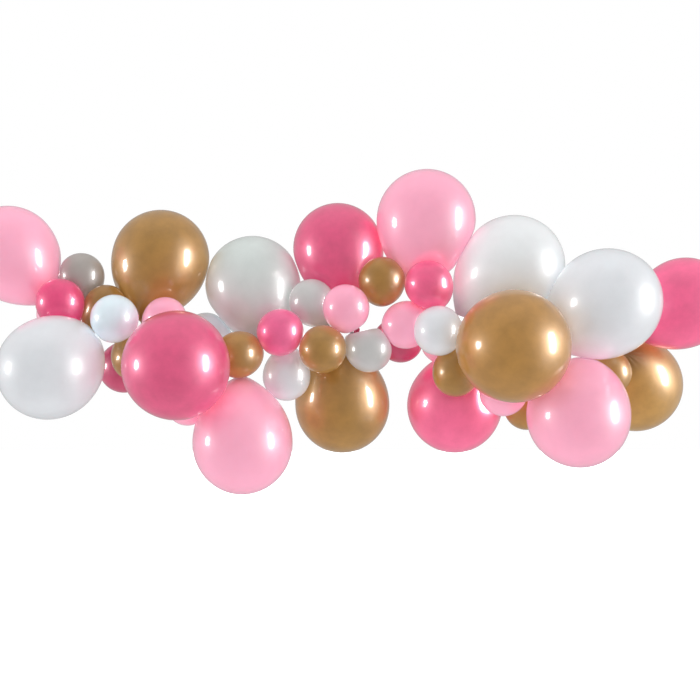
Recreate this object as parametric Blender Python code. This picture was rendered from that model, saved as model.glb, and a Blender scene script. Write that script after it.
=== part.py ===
"""A balloon garland: latex balloons of two sizes, tied and glued along a clear plastic strip.

Metres, +Z up. X runs along the garland, and its front faces -Y.
The strip's back face lies in the plane y = 0, and the origin is the middle mount on that face.
"""

import math
from bisect import bisect

import bmesh
import bpy
import numpy as np

# Clear strip
STRIP_WIDTH = 0.015
STRIP_THICKNESS = 0.001
STRIP_SPAN = 0.040
TIE_HOLE_RADIUS = 0.0035
TIE_HOLE_SIDES = 6
TIE_CELL = 0.010
CELL_JOIN = 0.012
HANGING_HOLES = (-0.767, 0.645)
HANGING_HOLE_RADIUS = 0.004
HANGING_HOLE_SIDES = 8
HANGING_CELL = 0.012

# Strip's centre line from left to right, as (x, z)
STRIP_ROUTE = [
    (-0.780, -0.032), (-0.665, -0.006), (-0.555, 0.006), (-0.415, -0.010), (-0.290, -0.030),
    (-0.190, -0.040), (-0.125, -0.030), (0.000, 0.000), (0.073, 0.011), (0.150, 0.004),
    (0.220, 0.032), (0.285, 0.050), (0.347, 0.042), (0.435, 0.015), (0.535, -0.010),
    (0.625, -0.025), (0.710, -0.028), (0.782, -0.022),
]

# Balloon form in body radii: crown, two handles of the neck side as (ring radius, along), and throat
CROWN_HEIGHT = 1.02
SHOULDER = (1.0, 0.80)
THROAT = (0.34, 1.26)
BODY_REACH = 1.42

# Facets, neck, knot and lip of each size of balloon, and where its neck meets the strip
LARGE = {"sides": 12, "crown_rings": 3, "neck": 0.0026, "knot": 0.0060, "lip": 0.0070, "tail": 0.026}
SMALL = {"sides": 10, "crown_rings": 2, "neck": 0.0022, "knot": 0.0048, "lip": 0.0058, "tail": 0.020}
LARGE_FROM = 0.090
SIDE_SHARES = (0.25, 0.5, 0.75)
AIM_GAP = 0.010
GATE_GAP = 0.004
EXIT_GAP = 0.001
KNOT_CENTRE = 0.006
KNOT_WAIST = 0.011
GLUED_NECK = 0.008

# Contact between balloons, and steps along the strip beside a balloon
GAP = 0.0003
NEAR = 0.020
STRIP_STEP = 0.010
SEAT_REACH = 0.30
GLUE_THICKNESS = 0.001
GLUE_RADIUS = 0.006
GLUE_SIDES = 6

# Colours, as linear red, green and blue
COLOURS = {
    "pink": (0.93, 0.37, 0.50),
    "magenta": (0.77, 0.09, 0.25),
    "gold": (0.42, 0.23, 0.08),
    "white": (0.86, 0.87, 0.90),
    "grey": (0.52, 0.52, 0.51),
    "clear": (0.90, 0.92, 0.92),
}

# Balloons from left to right: centre, body radius, and the x of the tie's hole, or None if it is glued
BALLOONS = {
    "large_pink_balloon_1": ((-0.766, 0.004, 0.2037), 0.1147, -0.600),
    "small_pink_balloon_1": ((-0.662, 0.068, 0.052), 0.056, -0.632),
    "large_white_balloon_1": ((-0.6205, -0.150, -0.0835), 0.1197, -0.562),
    "small_magenta_balloon_1": ((-0.6245, -0.050, 0.0755), 0.0585, -0.618),
    "small_grey_balloon_1": ((-0.594, 0.030, 0.1475), 0.0565, None),
    "small_gold_balloon_1": ((-0.523, -0.006, 0.067), 0.055, -0.582),
    "small_magenta_balloon_2": ((-0.488, 0.045, -0.084), 0.0645, -0.399),
    "small_white_balloon_1": ((-0.480, -0.102, 0.0355), 0.057, -0.513),
    "small_gold_balloon_2": ((-0.443, -0.055, -0.061), 0.054, -0.485),
    "large_gold_balloon_1": ((-0.3985, 0.060, 0.193), 0.123, -0.447),
    "small_pink_balloon_2": ((-0.3692, -0.045, 0.0373), 0.0525, -0.423),
    "large_magenta_balloon_1": ((-0.3177, -0.182, -0.0765), 0.1257, -0.344),
    "small_pink_balloon_3": ((-0.317, -0.025, -0.1715), 0.0545, None),
    "small_grey_balloon_2": ((-0.282, 0.057, -0.0045), 0.060, -0.207),
    "small_gold_balloon_3": ((-0.186, -0.075, -0.0515), 0.057, -0.138),
    "large_pink_balloon_2": ((-0.1744, -0.085, -0.2645), 0.121, -0.187),
    "large_grey_balloon": ((-0.164, 0.072, 0.130), 0.121, -0.123),
    "small_magenta_balloon_3": ((-0.084, -0.076, 0.0035), 0.0567, -0.108),
    "small_white_balloon_2": ((-0.0725, -0.015, -0.106), 0.059, -0.068),
    "small_grey_balloon_3": ((-0.0095, -0.015, 0.079), 0.057, 0.060),
    "small_gold_balloon_4": ((0.019, -0.090, -0.039), 0.057, 0.032),
    "large_magenta_balloon_2": ((0.055, 0.064, 0.2185), 0.1155, 0.102),
    "large_gold_balloon_2": ((0.065, 0.074, -0.180), 0.1217, 0.046),
    "small_pink_balloon_4": ((0.0753, -0.076, 0.062), 0.0567, 0.074),
    "small_grey_balloon_4": ((0.1305, -0.055, -0.0380), 0.0565, 0.088),
    "small_gold_balloon_5": ((0.1638, -0.035, 0.1312), 0.058, None),
    "small_magenta_balloon_4": ((0.214, 0.056, -0.0145), 0.0575, 0.148),
    "small_pink_balloon_5": ((0.2215, -0.050, 0.0213), 0.0585, 0.290),
    "small_magenta_balloon_5": ((0.275, -0.080, 0.1185), 0.058, 0.324),
    "large_pink_balloon_3": ((0.275, -0.005, 0.2852), 0.1224, 0.250),
    "small_white_balloon_3": ((0.2955, -0.117, 0.0055), 0.059, 0.310),
    "small_pink_balloon_6": ((0.3215, 0.028, -0.018), 0.057, 0.396),
    "small_gold_balloon_6": ((0.3415, -0.072, -0.096), 0.0567, None),
    "large_magenta_balloon_3": ((0.3545, 0.082, -0.182), 0.1208, 0.459),
    "small_pink_balloon_7": ((0.4602, -0.050, -0.142), 0.059, None),
    "large_gold_balloon_3": ((0.461, -0.200, -0.031), 0.131, 0.531),
    "large_white_balloon_2": ((0.4855, -0.030, 0.165), 0.1268, 0.342),
    "small_gold_balloon_7": ((0.5302, 0.025, -0.1837), 0.0568, None),
    "large_pink_balloon_4": ((0.624, -0.140, -0.195), 0.1205, 0.680),
    "large_white_balloon_3": ((0.6917, -0.130, 0.0712), 0.129, 0.583),
    "small_gold_balloon_8": ((0.7405, 0.021, -0.097), 0.054, 0.704),
    "large_gold_balloon_4": ((0.849, 0.179, -0.1333), 0.1226, 0.765),
    "large_magenta_balloon_4": ((0.9318, 0.039, 0.080), 0.114, 0.745),
}

# Balloons held by glue dots, with what each is glued to
GLUED_TO = {
    "small_grey_balloon_1": ("large_pink_balloon_1", "small_magenta_balloon_1"),
    "small_pink_balloon_3": ("large_pink_balloon_2",),
    "small_gold_balloon_5": ("large_magenta_balloon_2",),
    "small_gold_balloon_6": ("large_magenta_balloon_3", "large_gold_balloon_3"),
    "small_pink_balloon_7": ("large_magenta_balloon_3", "large_gold_balloon_3"),
    "small_gold_balloon_7": ("small_pink_balloon_7",),
}

# Balloons with the neck tucked up behind them: the directions of the body's axis and of the tail
TUCKED = {
    "small_gold_balloon_5": ((0.0, 0.76, -0.65), (0.0, 0.8, 0.6)),
}


def unit(vector):
    return vector / np.linalg.norm(vector)


def square_pair(direction, hint=(0.0, 0.0, 1.0)):
    """Two unit vectors square to the direction and to each other, the first close to the hint."""
    hint = np.array(hint)
    first = hint - np.dot(hint, direction) * direction
    if np.linalg.norm(first) < 0.1:
        hint = np.array((1.0, 0.0, 0.0))
        first = hint - np.dot(hint, direction) * direction
    first = unit(first)
    return first, np.cross(direction, first)


# Strip's centre line


def route_slope(index):
    """Slope of the centre line at a point of the route, from its neighbours."""
    before = STRIP_ROUTE[max(index - 1, 0)]
    after = STRIP_ROUTE[min(index + 1, len(STRIP_ROUTE) - 1)]
    return (after[1] - before[1]) / (after[0] - before[0])


def strip_height(x):
    """Height of the centre line at x, on one smooth curve through the route's points."""
    places = [point[0] for point in STRIP_ROUTE]
    index = min(max(bisect(places, x) - 1, 0), len(places) - 2)
    (x0, z0), (x1, z1) = STRIP_ROUTE[index:index + 2]
    length = x1 - x0
    t = (x - x0) / length
    return (
        z0 * (1 + 2 * t) * (1 - t) ** 2
        + z1 * t ** 2 * (3 - 2 * t)
        + route_slope(index) * length * t * (1 - t) ** 2
        - route_slope(index + 1) * length * t ** 2 * (1 - t)
    )


def strip_across(x):
    """Unit vector across the strip at x, in its plane."""
    step = 0.001
    along = unit(np.array((2 * step, 0.0, strip_height(x + step) - strip_height(x - step))))
    return np.array((-along[2], 0.0, along[0]))


# Balloon's form


def side_curve(share):
    """Ring radius and place along the axis, from the widest ring at share 0 to the neck at share 1."""
    rest = 1 - share
    weights = (rest ** 3, 3 * rest ** 2 * share, 3 * rest * share ** 2, share ** 3)
    handles = ((1.0, 0.0), SHOULDER, THROAT, (0.0, BODY_REACH))
    radius = sum(weight * handle[0] for weight, handle in zip(weights, handles))
    along = sum(weight * handle[1] for weight, handle in zip(weights, handles))
    return radius, along


def inner_spheres():
    """Spheres that fill the faceted body and its taper, as (place along the axis, radius)."""
    corners = [np.array(side_curve(share)) for share in (0.0, *SIDE_SHARES, 1.0)]
    outline = []
    for start, end in zip(corners, corners[1:]):
        outline.extend(start + step / 12 * (end - start) for step in range(13))
    spheres = [(0.0, 1.0)]
    for along in (0.3, 0.55, 0.8, 1.0, 1.15, 1.28):
        spheres.append((along, min(math.hypot(radius, place - along) for radius, place in outline)))
    return spheres


FORM_SPHERES = inner_spheres()


class Balloon:
    """Where one balloon is and which way it points.

    The axis runs from the body's centre to the neck. The gate is where a tied neck enters its hole in the
    strip, and where a glued one ends at its knot. The tail leaves the gate along the exit direction.
    """

    def __init__(self, name, centre, radius, hole):
        self.name = name
        self.colour = name.split("_")[1]
        self.centre = np.array(centre)
        self.radius = radius
        self.size = LARGE if radius > LARGE_FROM else SMALL
        self.tied = hole is not None
        side = -1.0 if centre[1] < 0 else 1.0
        place = hole if self.tied else centre[0]
        aim = np.array((place, side * AIM_GAP if self.tied else centre[1], strip_height(place)))
        self.axis = unit(np.array(TUCKED[name][0]) if name in TUCKED else aim - self.centre)
        self.throat = self.centre + BODY_REACH * radius * self.axis
        if self.tied:
            near_face = -STRIP_THICKNESS if side < 0 else 0.0
            self.exit = np.array((0.0, -side, 0.0))
            self.gate = np.array((place, near_face + side * GATE_GAP, aim[2]))
            self.knot_start = GATE_GAP + STRIP_THICKNESS + EXIT_GAP
        else:
            self.exit = np.array(TUCKED[name][1]) if name in TUCKED else self.axis
            self.gate = self.throat + GLUED_NECK * self.axis
            self.knot_start = EXIT_GAP
        self.planes = []
        self.seats = []

    def spheres(self):
        """The spheres that fill the body, in place."""
        spheres = []
        for along, size in FORM_SPHERES:
            spheres.append((self.centre + along * self.radius * self.axis, size * self.radius))
        return spheres

    def neck_spheres(self):
        """Spheres along the neck, from the throat to the gate."""
        thick = 1.5 * self.size["neck"]
        return [(self.neck_point(share), thick) for share in (0.0, 0.25, 0.5, 0.75, 1.0)]

    def tail_spheres(self):
        """Spheres around the knot and the tail."""
        start = self.gate + self.knot_start * self.exit
        end = start + self.size["tail"] * self.exit
        return [(start, self.size["lip"]), (end, self.size["lip"])]

    def neck_point(self, share):
        """A point of the neck's centre line, which leaves along the axis and bends into the hole."""
        handle = 0.4 * np.linalg.norm(self.gate - self.throat)
        rest = 1 - share
        return (
            rest ** 3 * self.throat
            + 3 * rest ** 2 * share * (self.throat + handle * self.axis)
            + 3 * rest * share ** 2 * (self.gate - handle * self.exit)
            + share ** 3 * self.gate
        )

    def neck_direction(self, share):
        step = 0.01
        return unit(self.neck_point(min(share + step, 1.0)) - self.neck_point(max(share - step, 0.0)))


# Contact: each pair is parted by one plane, and both are flattened against it


def reach(spheres, direction):
    """How far the spheres reach along a direction."""
    return max(float(np.dot(centre, direction)) + radius for centre, radius in spheres)


def parting_plane(first, second, share):
    """The plane that parts two groups of spheres with the least overlap.

    Returns its unit normal, from the first to the second, its place along that normal and the overlap.
    The share is how much of the overlap the first group gives up.
    """
    normal = unit(second[0][0] - first[0][0])
    overlap = reach(first, normal) + reach(second, -normal)
    turn = 0.4
    while turn > 0.005:
        across, up = square_pair(normal)
        angles = [step * math.pi / 4 for step in range(8)]
        tries = [unit(normal + turn * (math.cos(a) * across + math.sin(a) * up)) for a in angles]
        best = min(tries, key=lambda trial: reach(first, trial) + reach(second, -trial))
        found = reach(first, best) + reach(second, -best)
        if found < overlap - 1e-7:
            normal, overlap = best, found
        else:
            turn *= 0.5
    return normal, reach(first, normal) - share * overlap, overlap


def foremost(spheres, direction):
    """Centre of the sphere that reaches furthest along a direction."""
    return max(spheres, key=lambda sphere: float(np.dot(sphere[0], direction)) + sphere[1])[0]


def press_pair(first, second, gap):
    """Notes the plane between two balloons that are near each other, and where they meet on it."""
    near = first.radius + second.radius + BODY_REACH * max(first.radius, second.radius)
    if np.linalg.norm(first.centre - second.centre) > near:
        return None
    share = second.radius / (first.radius + second.radius)
    ours, theirs = first.spheres(), second.spheres()
    normal, place, overlap = parting_plane(ours, theirs, share)
    if overlap < -NEAR:
        return None
    first.planes.append((normal, place - gap / 2))
    second.planes.append((-normal, -place - gap / 2))
    middle = (foremost(ours, normal) + foremost(theirs, -normal)) / 2
    middle = middle + (place - np.dot(middle, normal)) * normal
    if overlap > 0:
        first.seats.append(middle - gap / 2 * normal)
        second.seats.append(middle + gap / 2 * normal)
    return middle, normal


def give_way(balloon, spheres):
    """Notes the plane behind which a balloon's body stays, clear of a neck, a tail or the strip."""
    if not spheres:
        return
    normal, place, overlap = parting_plane(balloon.spheres(), spheres, 1.0)
    if overlap > -NEAR:
        balloon.planes.append((normal, place - GAP))


def strip_spheres(balloon):
    """Small spheres along both edges of the stretch of strip beside a balloon."""
    spheres = []
    count = math.ceil(2 * BODY_REACH * balloon.radius / STRIP_STEP)
    for step in range(count + 1):
        x = balloon.centre[0] + (step - count / 2) * STRIP_STEP
        if STRIP_ROUTE[0][0] - STRIP_STEP < x < STRIP_ROUTE[-1][0] + STRIP_STEP:
            middle = np.array((x, -STRIP_THICKNESS / 2, strip_height(x)))
            half = STRIP_WIDTH / 2 * strip_across(x)
            spheres.extend((middle + side * half, STRIP_THICKNESS) for side in (-1, 1))
    return spheres


def pressed(point, inside, planes):
    """The point, drawn towards an inside point until it is on the balloon's side of every plane."""
    keep = 1.0
    for normal, place in planes:
        run = float(np.dot(point - inside, normal))
        room = place - float(np.dot(inside, normal))
        if run > room:
            keep = min(keep, max(room, 0.0) / run)
    return inside + keep * (point - inside)


# Meshes


def ring(bm, centre, direction, radius, sides, hint=(0.0, 0.0, 1.0)):
    across, up = square_pair(direction, hint)
    vertices = []
    for side in range(sides):
        angle = 2 * math.pi * side / sides
        vertices.append(bm.verts.new(centre + radius * (math.cos(angle) * across + math.sin(angle) * up)))
    return vertices


def bridge(bm, first, second):
    """Closes the band between two rings with triangles. The rings may differ in their number of sides."""
    i, j = 0, 0
    while i < len(first) or j < len(second):
        here = first[i % len(first)], second[j % len(second)]
        ahead_first = (i + 1) / len(first)
        ahead_second = (j + 1) / len(second)
        if j == len(second) or (i < len(first) and ahead_first <= ahead_second + 1e-6):
            bm.faces.new((here[0], first[(i + 1) % len(first)], here[1]))
            i += 1
        else:
            bm.faces.new((here[0], second[(j + 1) % len(second)], here[1]))
            j += 1


def finish(bm, name, colour, smooth):
    """Turns the faces outwards and makes the named object with its own material."""
    bmesh.ops.recalc_face_normals(bm, faces=bm.faces)
    mesh = bpy.data.meshes.new(name)
    bm.to_mesh(mesh)
    bm.free()
    if smooth:
        mesh.shade_smooth()
    material = bpy.data.materials.new(name)
    material.use_nodes = True
    shader = material.node_tree.nodes["Principled BSDF"]
    shader.inputs["Base Color"].default_value = (*COLOURS[colour], 1.0)
    shader.inputs["Metallic"].default_value = 0.35 if colour == "gold" else 0.0
    shader.inputs["Roughness"].default_value = 0.12
    mesh.materials.append(material)
    item = bpy.data.objects.new(name, mesh)
    bpy.context.scene.collection.objects.link(item)
    return item


def body_rings(balloon):
    """The body's rings from crown to neck side, as (place along the axis, radius), spread so that facets
    cross the true round form instead of lying inside it."""
    spread = (1 + 1 / math.cos(math.pi / balloon.size["sides"])) / 2
    count = balloon.size["crown_rings"]
    rings = []
    for step in range(1, count + 1):
        angle = math.radians(90) * step / count
        rings.append((-CROWN_HEIGHT * math.cos(angle), spread * math.sin(angle)))
    for share in SIDE_SHARES:
        radius, along = side_curve(share)
        rings.append((along, spread * radius))
    return rings


def build_balloon(balloon):
    size, centre, radius, axis = balloon.size, balloon.centre, balloon.radius, balloon.axis
    bm = bmesh.new()
    crown = bm.verts.new(centre - CROWN_HEIGHT * radius * axis)
    rings = []
    for along, ring_radius in body_rings(balloon):
        rings.append(ring(bm, centre + along * radius * axis, axis, ring_radius * radius, size["sides"]))
    press_body(balloon, crown, rings)
    for side in range(size["sides"]):
        bm.faces.new((crown, rings[0][side], rings[0][(side + 1) % size["sides"]]))
    for before, after in zip(rings, rings[1:]):
        bridge(bm, before, after)
    tube = tube_rings(bm, balloon)
    bridge(bm, rings[-1], tube[0])
    for before, after in zip(tube, tube[1:]):
        bridge(bm, before, after)
    bm.faces.new(tube[-1])
    bmesh.ops.triangulate(bm, faces=bm.faces)
    return finish(bm, balloon.name, balloon.colour, True)


def press_body(balloon, crown, rings):
    """Flattens the body against its neighbours, and brings one vertex to the middle of each contact."""
    movable = [(crown, balloon.centre)]
    for vertices, (along, _) in zip(rings, body_rings(balloon)):
        inside = balloon.centre + max(along, 0.0) * 0.9 * balloon.radius * balloon.axis
        movable.extend((vertex, inside) for vertex in vertices)
    free = list(movable)
    for seat in balloon.seats:
        nearest = min(free, key=lambda pair: np.linalg.norm(np.array(pair[0].co) - seat))
        if np.linalg.norm(np.array(nearest[0].co) - seat) < SEAT_REACH * balloon.radius:
            nearest[0].co = seat
            free.remove(nearest)
    for vertex, inside in movable:
        vertex.co = pressed(np.array(vertex.co), inside, balloon.planes)


def tube_rings(bm, balloon):
    """Rings of the neck, the knot and the flared, rolled lip, with half as many sides as the body."""
    size, sides = balloon.size, balloon.size["sides"] // 2
    rings = []
    across = square_pair(balloon.axis)[0]
    shares = (0.0, 0.5, 1.0) if balloon.tied else (0.0,)
    for share in shares:
        direction = balloon.neck_direction(share)
        rings.append(ring(bm, balloon.neck_point(share), direction, size["neck"], sides, across))
        across = square_pair(direction, across)[0]
    places = [
        (balloon.knot_start, size["neck"]),
        (balloon.knot_start + KNOT_CENTRE, size["knot"]),
        (balloon.knot_start + KNOT_WAIST, size["neck"]),
        (balloon.knot_start + size["tail"], size["lip"]),
    ]
    for along, radius in places:
        rings.append(ring(bm, balloon.gate + along * balloon.exit, balloon.exit, radius, sides, across))
    return rings


def build_glue_dot(number, middle, normal):
    """A clear adhesive disc squeezed between two balloons."""
    bm = bmesh.new()
    half = GLUE_THICKNESS / 2 * normal
    under = ring(bm, middle - half, normal, GLUE_RADIUS, GLUE_SIDES)
    over = ring(bm, middle + half, normal, GLUE_RADIUS, GLUE_SIDES)
    bridge(bm, under, over)
    bm.faces.new(under)
    bm.faces.new(over)
    bmesh.ops.triangulate(bm, faces=bm.faces)
    return finish(bm, f"glue_dot_{number}", "clear", False)


def strip_stations():
    """Places of the strip's cross edges, and the hole of each cell. Close cells share an edge."""
    ties = [row[2] for row in BALLOONS.values() if row[2] is not None]
    cells = [(x, TIE_HOLE_RADIUS, TIE_HOLE_SIDES, TIE_CELL) for x in ties]
    cells += [(x, HANGING_HOLE_RADIUS, HANGING_HOLE_SIDES, HANGING_CELL) for x in HANGING_HOLES]
    edges, holes = [STRIP_ROUTE[0][0]], {}
    for x, radius, sides, length in sorted(cells):
        start = x - length / 2
        if start - edges[-1] > CELL_JOIN:
            add_span(edges, start)
        elif holes:
            edges[-1] = (edges[-1] + start) / 2
        holes[len(edges) - 1] = (x, radius, sides)
        edges.append(x + length / 2)
    add_span(edges, STRIP_ROUTE[-1][0])
    return edges, holes


def add_span(edges, end):
    """Runs the plain strip on to a place, in equal stretches no longer than a span."""
    start = edges[-1]
    steps = math.ceil((end - start) / STRIP_SPAN)
    edges.extend(start + (end - start) * step / steps for step in range(1, steps + 1))


def build_strip():
    bm = bmesh.new()
    edges, holes = strip_stations()
    faces_at = (-STRIP_THICKNESS, 0.0)
    corners = []
    for x in edges:
        half = STRIP_WIDTH / 2 * strip_across(x)
        middles = [np.array((x, y, strip_height(x))) for y in faces_at]
        corners.append([[bm.verts.new(middle - half), bm.verts.new(middle + half)] for middle in middles])
    for index, (left, right) in enumerate(zip(corners, corners[1:])):
        for side in (0, 1):
            bm.faces.new((left[0][side], right[0][side], right[1][side], left[1][side]))
        if index in holes:
            build_hole(bm, left, right, *holes[index])
        else:
            for face in (0, 1):
                bm.faces.new((left[face][0], right[face][0], right[face][1], left[face][1]))
    for end in (corners[0], corners[-1]):
        bm.faces.new((end[0][0], end[0][1], end[1][1], end[1][0]))
    bmesh.ops.triangulate(bm, faces=bm.faces)
    return finish(bm, "garland_strip", "clear", False)


def build_hole(bm, left, right, x, radius, sides):
    """The cell of strip around one hole: its front, its back and the hole's wall."""
    rims = []
    for face, y in enumerate((-STRIP_THICKNESS, 0.0)):
        centre = np.array((x, y, strip_height(x)))
        outline = [right[face][1], left[face][1], left[face][0], right[face][0]]
        start = np.array(outline[0].co) - centre
        rim = ring(bm, centre, np.array((0.0, -1.0, 0.0)), radius, sides, unit(start))
        bridge(bm, outline, rim)
        rims.append(rim)
    bridge(bm, rims[0], rims[1])


def main():
    for item in list(bpy.data.objects):
        bpy.data.objects.remove(item)
    balloons = [Balloon(name, *row) for name, row in BALLOONS.items()]
    dots = []
    for index, first in enumerate(balloons):
        for second in balloons[index + 1:]:
            partners = GLUED_TO.get(first.name, ()) + GLUED_TO.get(second.name, ())
            glued = first.name in partners or second.name in partners
            contact = press_pair(first, second, GLUE_THICKNESS + 2 * GAP if glued else GAP)
            if glued:
                dots.append(contact)
    for balloon in balloons:
        give_way(balloon, strip_spheres(balloon))
        for other in balloons:
            if other is not balloon:
                give_way(balloon, other.neck_spheres())
                give_way(balloon, other.tail_spheres())
    for balloon in balloons:
        build_balloon(balloon)
    for number, dot in enumerate(dots, 1):
        build_glue_dot(number, *dot)
    build_strip()


main()
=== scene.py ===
"""The looks of the balloon garland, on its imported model.

Metres, in the part's own frame: X runs along the garland, its front faces -Y, and +Z is up.
"""

import math
from bisect import bisect

import bmesh
import bpy
import numpy as np
from mathutils import Matrix

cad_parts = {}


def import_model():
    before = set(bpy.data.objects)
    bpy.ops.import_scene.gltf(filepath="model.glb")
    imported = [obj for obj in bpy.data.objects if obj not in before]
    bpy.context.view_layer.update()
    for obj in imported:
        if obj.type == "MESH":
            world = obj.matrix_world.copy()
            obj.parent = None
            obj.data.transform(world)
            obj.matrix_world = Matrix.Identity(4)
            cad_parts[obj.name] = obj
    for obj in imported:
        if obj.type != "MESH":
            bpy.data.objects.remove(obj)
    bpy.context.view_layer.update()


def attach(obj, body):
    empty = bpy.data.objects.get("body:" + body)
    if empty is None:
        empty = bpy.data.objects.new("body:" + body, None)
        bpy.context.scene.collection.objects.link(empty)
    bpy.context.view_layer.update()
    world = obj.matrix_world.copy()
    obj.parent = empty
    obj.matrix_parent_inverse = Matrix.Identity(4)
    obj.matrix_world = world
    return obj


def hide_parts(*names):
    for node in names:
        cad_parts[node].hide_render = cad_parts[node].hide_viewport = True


# Clear strip
STRIP_WIDTH = 0.015
STRIP_THICKNESS = 0.001
STRIP_SPAN = 0.006
TIE_HOLE_RADIUS = 0.0034
TIE_CELL = 0.010
HANGING_HOLES = (-0.767, 0.645)
HANGING_HOLE_RADIUS = 0.0039
HANGING_CELL = 0.012
CELL_JOIN = 0.012
HOLE_SIDES = 32

# Strip's centre line from left to right, as (x, z)
STRIP_ROUTE = [
    (-0.780, -0.032), (-0.665, -0.006), (-0.555, 0.006), (-0.415, -0.010), (-0.290, -0.030),
    (-0.190, -0.040), (-0.125, -0.030), (0.000, 0.000), (0.073, 0.011), (0.150, 0.004),
    (0.220, 0.032), (0.285, 0.050), (0.347, 0.042), (0.435, 0.015), (0.535, -0.010),
    (0.625, -0.025), (0.710, -0.028), (0.782, -0.022),
]

# Balloon form in body radii: crown, two handles of the neck side as (ring radius, along), and throat
CROWN_HEIGHT = 1.02
SHOULDER = (1.0, 0.80)
THROAT = (0.34, 1.26)
BODY_REACH = 1.42

# Spheres that fill this form: shares of the side where its outline bends, steps between, and places
SIDE_SHARES = (0.25, 0.5, 0.75)
OUTLINE_STEPS = 12
SPHERE_PLACES = (0.3, 0.55, 0.8, 1.0, 1.15, 1.28)

# Unevenness as shares of a ring's radius: an oval, a rounded triangle, and pleats towards the throat
WAVE_PHASE = 1.7
OVAL_DEPTH = 0.006
TRIANGLE_DEPTH = 0.004
TRIANGLE_PHASE = 2.3
PLEATS = 16
PLEAT_DEPTH = 0.05
PLEAT_RANGE = (1.15, 1.40)

# Stretches of the body, in radii along the axis, over which pressing fades out and the latex thickens
FREE_RANGE = (1.24, BODY_REACH)
THICK_RANGE = (1.0, BODY_REACH)

# Mesh, neck, knot and lip of each size of balloon
LARGE = {"sides": 96, "crown": 28, "side": 40, "neck": 0.0026, "knot": 0.0060, "lip": 0.0070, "tail": 0.026}
SMALL = {"sides": 64, "crown": 20, "side": 28, "neck": 0.0022, "knot": 0.0048, "lip": 0.0058, "tail": 0.020}
LARGE_FROM = 0.090

# Sides of every neck and tail, and lengths: strip to the axis's aim, strip to gate, strip to knot, knot,
# and the neck of a glued balloon
TUBE_SIDES = 32
AIM_GAP = 0.010
GATE_GAP = 0.004
EXIT_GAP = 0.001
KNOT_WAIST = 0.011
GLUED_NECK = 0.008

# Neck: its curve's handle, the spheres that stand for it, its rings, how it thins, and its twisted folds
NECK_HANDLE = 0.4
NECK_SHARES = (0.0, 0.25, 0.5, 0.75, 1.0)
NECK_ROOM = 1.5
NECK_STEP = 0.002
LEAST_NECK_RINGS = 4
NECK_TAPER = 2.1
TAPER_BLEND = 0.02
NECK_FOLDS = 6
NECK_FOLD_DEPTH = 0.05
NECK_TWIST = 250

# Tail: rings of the knot, the flare, the rolled lip and the flare's inside, with their forms
KNOT_RINGS = 12
KNOT_FULLNESS = 0.7
KNOT_TWIST = 420
KNOT_FOLD_DEPTH = 0.10
FLARE_RINGS = 10
FLARE_POWER = 1.5
FLARE_WAVE_DEPTH = 0.14
ROLL_RINGS = 8
ROLL_RADIUS = 0.0009
ROLL_START = -60
ROLL_TURN = 240
INSIDE_RINGS = 8
INSIDE_START = 0.003
INSIDE_SHARE = 0.86
INSIDE_GAP = 0.0008
INSIDE_END = 0.002
LEAST_RADIUS = 0.0004

# Contact between balloons: the gap, and how a body is drawn in towards its axis behind a plane
GAP = 0.0003
NEAR = 0.020
STRIP_STEP = 0.010
DRAW_SHARE = 0.9
SOFT_EDGE = 0.0014
LEAST_ROOM = 1e-4
MOST_SHARE = 8.0

# Search for a parting plane: first and last turn of its normal, directions tried, and least gain
FIRST_TURN = 0.4
LAST_TURN = 0.005
TURN_DIRECTIONS = 8
LEAST_GAIN = 1e-7

# Glue dots
GLUE_THICKNESS = 0.001
GLUE_RADIUS = 0.006
GLUE_SIDES = 48
GLUE_RINGS = 8

# Least part of a hint that is square to a direction, and what rounding may add to a share
LEAST_HINT = 0.1
ROUNDING = 1e-6

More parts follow.
